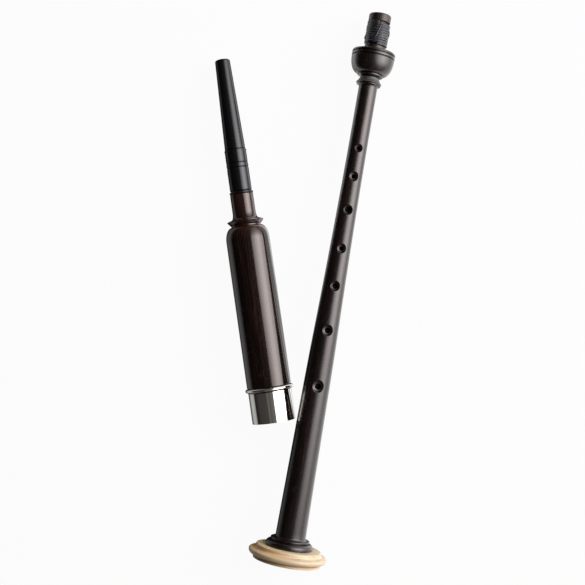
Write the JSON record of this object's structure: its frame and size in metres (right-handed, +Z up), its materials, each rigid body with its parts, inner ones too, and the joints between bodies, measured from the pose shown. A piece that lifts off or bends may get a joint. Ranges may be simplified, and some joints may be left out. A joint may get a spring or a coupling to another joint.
{
  "type": "bagpipe practice chanter",
  "caption": "Long turned practice chanter taken apart: holed shaft with a pale sole, bulb and wound tenon, and a barrel top section with a ferrule and tapered mouthpiece.",
  "frame": {"origin": "bottom centre of the bounding box, on the surface that both sections lie on", "axes": "+Z up; +Y in plan along the top section's bore, from its mouth to its mouthpiece; +X towards the side where the chanter lies; the chanter's own axis is turned 18.05 degrees from +Y towards +X"},
  "size_m": [0.1338, 0.334, 0.0481],
  "materials": {
    "blackwood": "oiled and polished dark hardwood with reddish streaks",
    "sole": "satin pale cream, turned",
    "ferrule": "polished nickel",
    "polymer": "satin black turned polymer",
    "waxed_thread": "black waxed hemp thread"
  },
  "bodies": {
    "chanter": {"chanter_body": "blackwood", "chanter_sole": "sole", "tenon_hemp_core": "waxed_thread", "tenon_hemp_thread": "waxed_thread"},
    "top_section": {"top_body": "blackwood", "ferrule": "ferrule", "mouthpiece_sleeve": "polymer"},
    "mouthpiece_packing": {"mouthpiece_hemp": "waxed_thread"},
    "mouthpiece": {"mouthpiece": "polymer"}
  },
  "joints": [
    {"name": "top_section_draw", "type": "slide", "parent": "chanter", "child": "top_section", "axis": [0, 0.9999, -0.0157], "range_m": [0, 0.0237]},
    {"name": "mouthpiece_pull", "type": "slide", "parent": "top_section", "child": "mouthpiece_packing", "axis": [0, 0.9999, -0.0157], "range_m": [0, 0.0123]},
    {"name": "mouthpiece_twist", "type": "hinge", "parent": "mouthpiece_packing", "child": "mouthpiece", "pos_m": [-0.04094, 0.09474, 0.0126], "axis": [0, 0.9999, -0.0157], "continuous": true}
  ]
}
